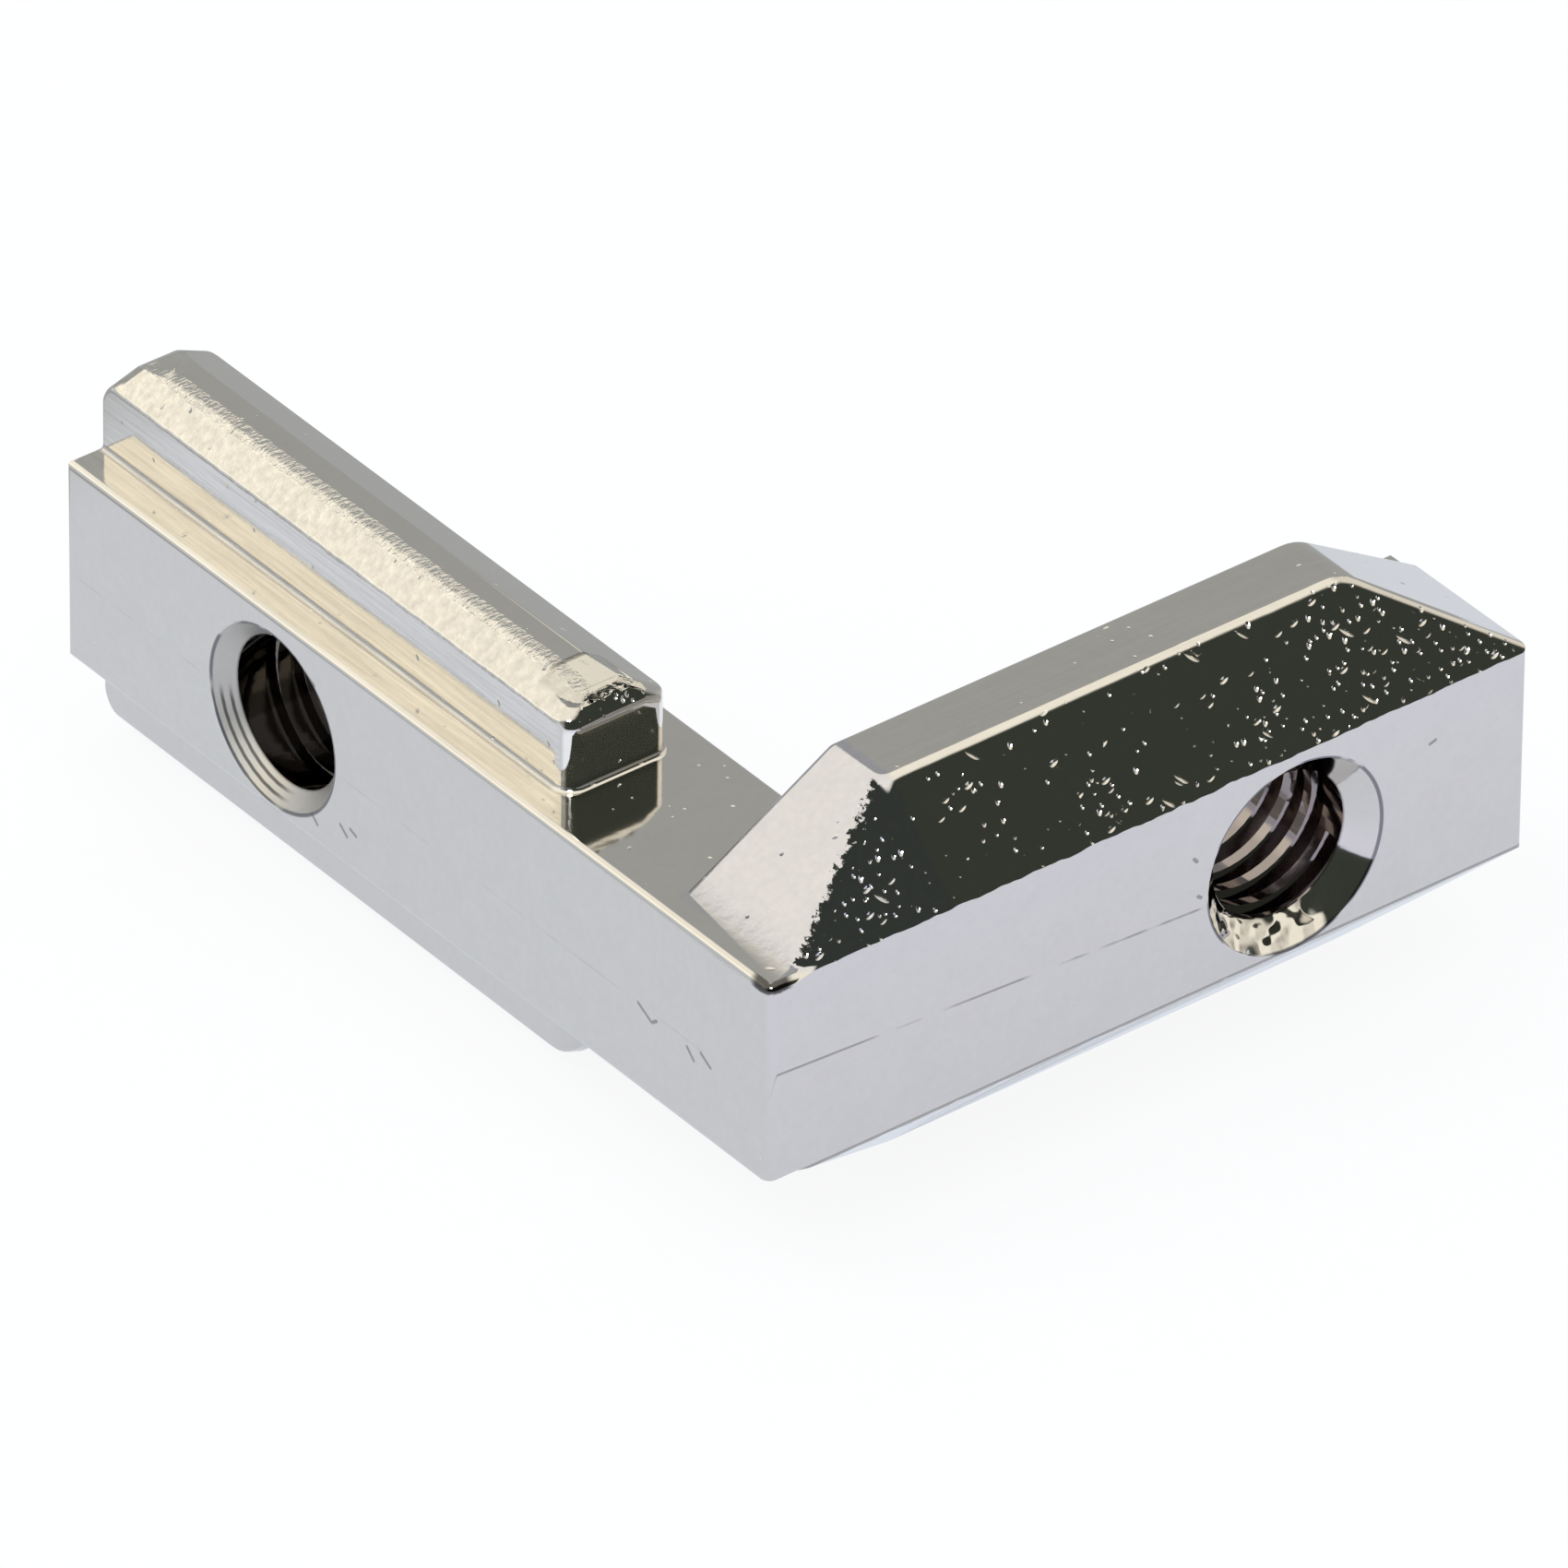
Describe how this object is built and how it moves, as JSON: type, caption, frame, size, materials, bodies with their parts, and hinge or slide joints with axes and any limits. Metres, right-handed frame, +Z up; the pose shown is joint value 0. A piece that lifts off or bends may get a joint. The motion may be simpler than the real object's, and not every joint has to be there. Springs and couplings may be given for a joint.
{
  "type": "t slot corner bracket",
  "caption": "L-shaped inside corner bracket for slotted frame profiles, with flanged legs of unlike shape and a tapped, countersunk hole through each leg.",
  "frame": {"origin": "middle of the underside of the bounding box, with the bracket lying on one side of its flanges", "axes": "+X along the short leg and +Y along the long leg, both away from the outer corner; +Z up, across the slot"},
  "size_m": [0.0242, 0.029, 0.0112],
  "materials": {
    "nickel_plate": "bright nickel plating over a zinc die casting, lightly pitted and rippled, with a faint parting line at mid height"
  },
  "bodies": {
    "root": {"corner_bracket": "nickel_plate"}
  },
  "joints": []
}
